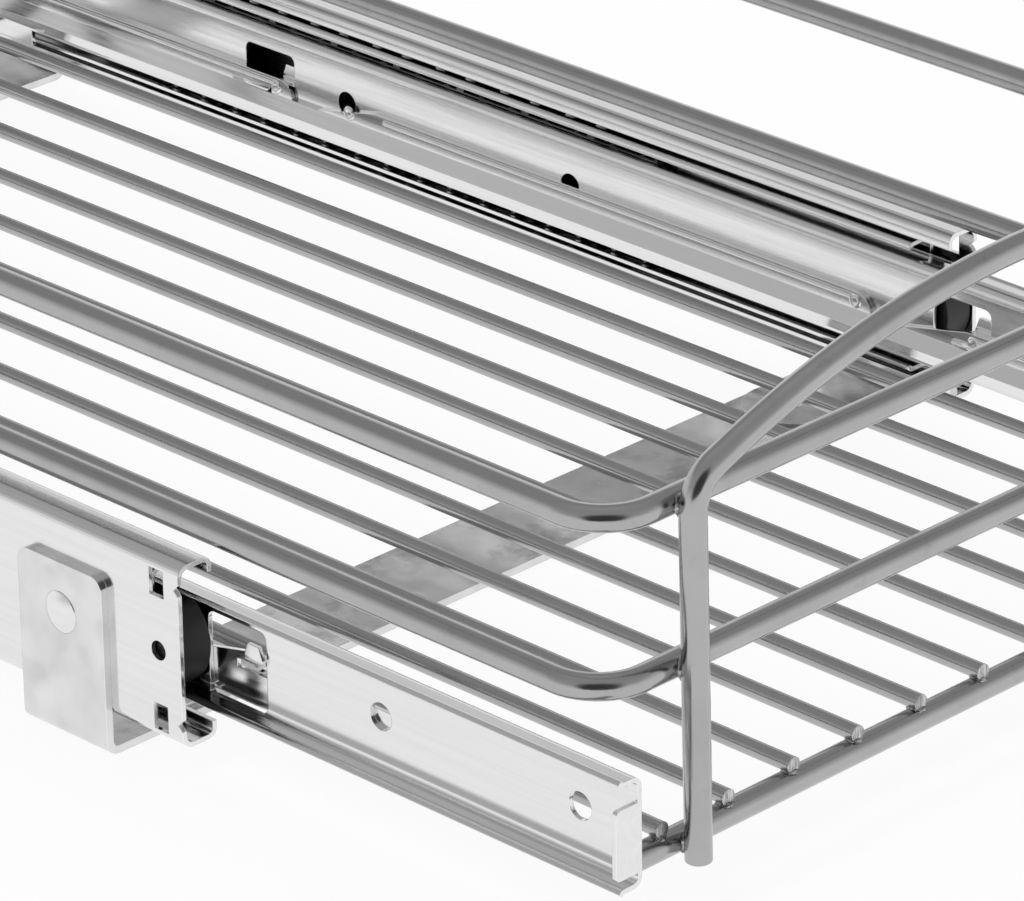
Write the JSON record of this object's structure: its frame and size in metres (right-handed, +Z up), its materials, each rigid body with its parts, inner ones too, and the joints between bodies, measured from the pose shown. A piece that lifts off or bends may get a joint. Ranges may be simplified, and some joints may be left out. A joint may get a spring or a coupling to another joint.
{
  "type": "pull-out cabinet basket",
  "caption": "Low wire basket on two full-extension ball-bearing slides and floor straps, with rod loops and a front arch handle.",
  "frame": {"origin": "middle of the front strap's underside, on the cabinet floor", "axes": "+X to the right seen from the front, +Y towards the back of the cabinet, +Z up; the basket pulls out along -Y"},
  "size_m": [0.2766, 0.6353, 0.1338],
  "materials": {
    "plated_rod": "satin",
    "slide_zinc": "bright zinc plating",
    "strap_zinc": "mottled zinc plating",
    "cage_steel": "plain steel",
    "ball_steel": "polished",
    "black_plastic": "fine grain"
  },
  "bodies": {
    "base": {"front_strap": "strap_zinc", "rear_strap": "strap_zinc", "strap_rivets": "slide_zinc", "outer_channel_left": "slide_zinc", "outer_channel_right": "slide_zinc"},
    "basket": {"basket_member_left": "slide_zinc", "basket_member_right": "slide_zinc", "hanger_strip_left": "slide_zinc", "hanger_strip_right": "slide_zinc", "front_rod": "plated_rod", "rear_rod": "plated_rod", "lower_loop": "plated_rod", "upper_loop": "plated_rod", "front_arch": "plated_rod", "rear_post_left": "plated_rod", "rear_post_right": "plated_rod", "deck_wire_1": "plated_rod", "deck_wire_2": "plated_rod", "deck_wire_3": "plated_rod", "deck_wire_4": "plated_rod", "deck_wire_5": "plated_rod", "deck_wire_6": "plated_rod", "deck_wire_7": "plated_rod", "deck_wire_8": "plated_rod", "deck_wire_9": "plated_rod", "deck_wire_10": "plated_rod", "deck_wire_11": "plated_rod"},
    "middle_left": {"middle_member_left": "slide_zinc", "buffer_left": "black_plastic"},
    "outer_cage_left": {"outer_cage_left": "cage_steel", "outer_balls_left": "ball_steel"},
    "inner_cage_left": {"inner_cage_left": "cage_steel", "inner_balls_left": "ball_steel"},
    "middle_right": {"middle_member_right": "slide_zinc", "buffer_right": "black_plastic"},
    "outer_cage_right": {"outer_cage_right": "cage_steel", "outer_balls_right": "ball_steel"},
    "inner_cage_right": {"inner_cage_right": "cage_steel", "inner_balls_right": "ball_steel"}
  },
  "joints": [
    {"name": "basket_slide", "type": "slide", "parent": "base", "child": "basket", "axis": [0, -1, 0], "range_m": [-0.132, 0.304]},
    {"name": "middle_left_slide", "type": "slide", "parent": "base", "child": "middle_left", "axis": [0, -1, 0], "range_m": [-0.066, 0.152]},
    {"name": "middle_right_slide", "type": "slide", "parent": "base", "child": "middle_right", "axis": [0, -1, 0], "range_m": [-0.066, 0.152]},
    {"name": "outer_cage_left_slide", "type": "slide", "parent": "base", "child": "outer_cage_left", "axis": [0, -1, 0], "range_m": [-0.033, 0.076]},
    {"name": "outer_cage_right_slide", "type": "slide", "parent": "base", "child": "outer_cage_right", "axis": [0, -1, 0], "range_m": [-0.033, 0.076]},
    {"name": "inner_cage_left_slide", "type": "slide", "parent": "base", "child": "inner_cage_left", "axis": [0, -1, 0], "range_m": [-0.099, 0.228]},
    {"name": "inner_cage_right_slide", "type": "slide", "parent": "base", "child": "inner_cage_right", "axis": [0, -1, 0], "range_m": [-0.099, 0.228]}
  ],
  "couplings": [
    {"joint": "middle_left_slide", "follows": "basket_slide", "ratio": 0.5},
    {"joint": "middle_right_slide", "follows": "basket_slide", "ratio": 0.5},
    {"joint": "outer_cage_left_slide", "follows": "basket_slide", "ratio": 0.25},
    {"joint": "outer_cage_right_slide", "follows": "basket_slide", "ratio": 0.25},
    {"joint": "inner_cage_left_slide", "follows": "basket_slide", "ratio": 0.75},
    {"joint": "inner_cage_right_slide", "follows": "basket_slide", "ratio": 0.75}
  ]
}
